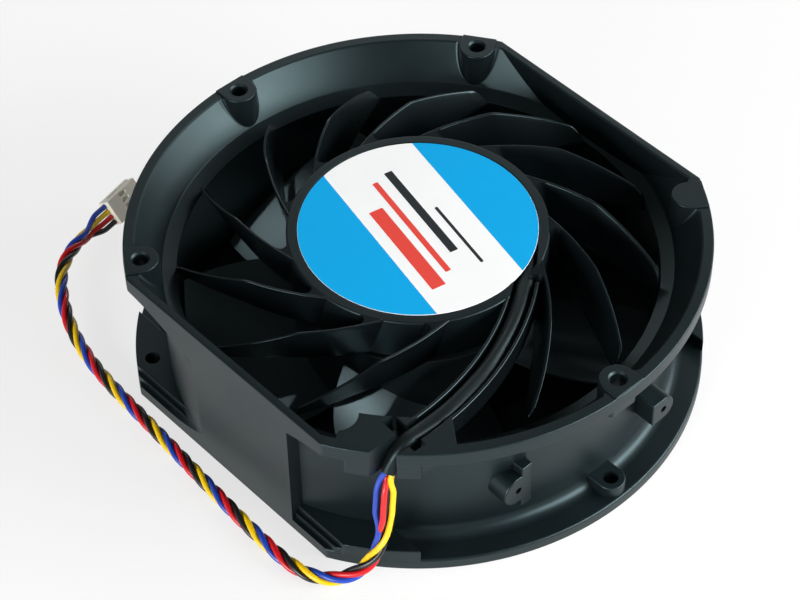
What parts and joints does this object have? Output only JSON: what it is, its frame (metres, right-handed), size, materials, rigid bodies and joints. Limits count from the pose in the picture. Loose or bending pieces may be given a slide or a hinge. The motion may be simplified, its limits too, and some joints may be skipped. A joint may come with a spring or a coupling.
{
  "type": "cooling fan",
  "caption": "Round axial server fan with flattened sides, swept guide vanes, brushless motor hub, impeller and twisted leads ending in a small connector.",
  "frame": {"origin": "on the fan axis, in the plane of the inlet flange's face", "axes": "+Z along the fan axis from inlet to outlet, +Y towards a rounded end, +X towards the plain flat side"},
  "size_m": [0.1624, 0.1978, 0.051],
  "materials": {
    "frame_plastic": "satin moulded, glass-filled",
    "impeller_plastic": "satin moulded",
    "label_film": "printed film",
    "brass": "turned",
    "bearing_steel": "ground",
    "steel": "plain",
    "spring_steel": "blued",
    "boss_metal": "die-cast",
    "magnet": "bonded ferrite",
    "lamination": "stacked laminations",
    "insulator_plastic": "moulded",
    "copper": "enamelled wire",
    "tinned": "tinned",
    "board": "solder mask",
    "component": "moulded",
    "can": "sleeved",
    "sleeve": "heat-shrink",
    "lead": "insulated, four colours",
    "nylon": "natural nylon"
  },
  "bodies": {
    "frame": {"frame_barrel": "frame_plastic", "motor_base": "frame_plastic", "guide_vanes": "frame_plastic", "lead_channel": "frame_plastic", "label": "label_film", "bearing_tube": "brass", "bearing_upper_outer_ring": "bearing_steel", "bearing_lower_outer_ring": "bearing_steel", "stator_core": "lamination", "insulator_upper": "insulator_plastic", "insulator_lower": "insulator_plastic", "windings": "copper", "terminal_pins": "tinned", "circuit_board": "board", "driver_chip": "component", "power_transistors": "component", "capacitors": "can", "hall_sensors": "component", "lead_tails": "lead", "wire_sleeve": "sleeve", "wire_bundle": "lead", "connector_housing": "nylon", "connector_terminals": "tinned"},
    "rotor": {"impeller": "impeller_plastic", "rotor_boss": "boss_metal", "rotor_yoke": "steel", "magnet_ring": "magnet", "shaft": "steel", "retaining_clip": "spring_steel", "wave_washer": "spring_steel", "bearing_upper_inner_ring": "bearing_steel", "bearing_lower_inner_ring": "bearing_steel"},
    "upper_ball_set": {"bearing_upper_balls": "bearing_steel"},
    "lower_ball_set": {"bearing_lower_balls": "bearing_steel"}
  },
  "joints": [
    {"name": "impeller_spin", "type": "hinge", "parent": "frame", "child": "rotor", "pos_m": [0, 0, 0.02], "axis": [0, 0, 1], "continuous": true},
    {"name": "upper_balls_roll", "type": "hinge", "parent": "frame", "child": "upper_ball_set", "pos_m": [0, 0, 0.0445], "axis": [0, 0, 1], "continuous": true},
    {"name": "lower_balls_roll", "type": "hinge", "parent": "frame", "child": "lower_ball_set", "pos_m": [0, 0, 0.014], "axis": [0, 0, 1], "continuous": true}
  ],
  "couplings": [
    {"joint": "upper_balls_roll", "follows": "impeller_spin", "ratio": 0.36},
    {"joint": "lower_balls_roll", "follows": "impeller_spin", "ratio": 0.36}
  ]
}
